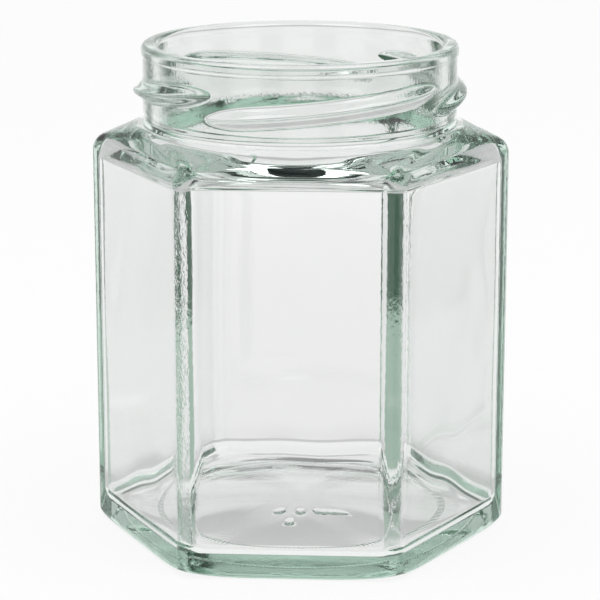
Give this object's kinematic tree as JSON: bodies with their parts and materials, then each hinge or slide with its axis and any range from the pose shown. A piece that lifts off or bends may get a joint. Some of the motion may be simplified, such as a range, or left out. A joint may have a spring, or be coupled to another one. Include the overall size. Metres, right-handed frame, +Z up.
{
  "type": "hexagonal glass jar",
  "caption": "Open hexagonal clear-glass preserving jar with rounded corners, sloping shoulder, round neck and interrupted twist-off thread lugs.",
  "frame": {"origin": "centre of the underside, on the plane the jar stands on", "axes": "+Z up along the jar's axis towards the mouth; -Y is the normal of the front facet; two upright corners lie on the X axis"},
  "size_m": [0.0712, 0.0624, 0.085],
  "materials": {
    "glass": "clear polished soda-lime glass with a faint green tint"
  },
  "bodies": {
    "root": {"jar": "glass"}
  },
  "joints": []
}
